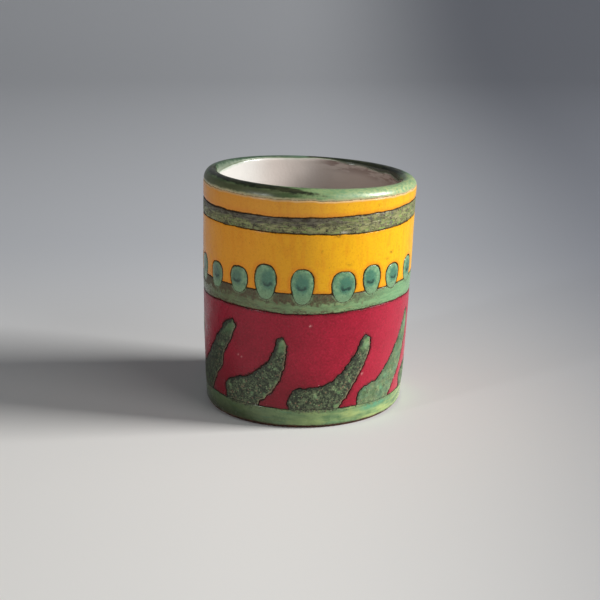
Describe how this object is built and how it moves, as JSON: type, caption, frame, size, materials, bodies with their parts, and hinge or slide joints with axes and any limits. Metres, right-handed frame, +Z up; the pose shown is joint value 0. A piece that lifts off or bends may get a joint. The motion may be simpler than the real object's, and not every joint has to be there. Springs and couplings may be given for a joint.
{
  "type": "shot cup",
  "caption": "Small straight-sided ceramic shot cup, glazed white inside, with hand-painted glaze bands, drops and leaning flames in amber, red and green.",
  "frame": {"origin": "bottom centre of the bounding box, on the surface that the cup stands on", "axes": "+Z up along the cup's height; -Y is the side shown first, and +X is the side that the cup leans to"},
  "size_m": [0.051, 0.0506, 0.0575],
  "materials": {
    "clay": "matte unglazed terracotta, darkened along the foot",
    "white": "glossy off-white tin glaze",
    "green": "glossy deep green, pale where it runs thin",
    "amber": "glossy golden amber with a few brown specks",
    "olive": "satin olive grey, speckled dark brown",
    "celadon": "satin celadon green with brown specks along its upper edge",
    "red": "glossy crimson with a few pale pinholes",
    "sage": "satin sage green, thickly speckled with dark brown",
    "leaf": "glossy leaf green with yellow and turquoise streaks",
    "turquoise": "glossy turquoise, darker at the centre"
  },
  "bodies": {
    "root": {"clay_body": "clay", "lining_glaze": "white", "rim_glaze": "green", "collar_glaze": "amber", "stripe_glaze": "olive", "amber_glaze": "amber", "waist_glaze": "celadon", "red_glaze": "red", "base_glaze": "leaf", "drop_01": "turquoise", "drop_02": "turquoise", "drop_03": "turquoise", "drop_04": "turquoise", "drop_05": "turquoise", "drop_06": "turquoise", "drop_07": "turquoise", "drop_08": "turquoise", "drop_09": "turquoise", "drop_10": "turquoise", "drop_11": "turquoise", "drop_12": "turquoise", "drop_13": "turquoise", "drop_14": "turquoise", "drop_15": "turquoise", "drop_16": "turquoise", "drop_17": "turquoise", "drop_18": "turquoise", "drop_19": "turquoise", "drop_20": "turquoise", "flame_1": "sage", "flame_2": "sage", "flame_3": "sage", "flame_4": "sage", "flame_5": "sage", "flame_6": "sage", "flame_7": "sage", "flame_8": "sage", "flame_9": "sage"}
  },
  "joints": []
}
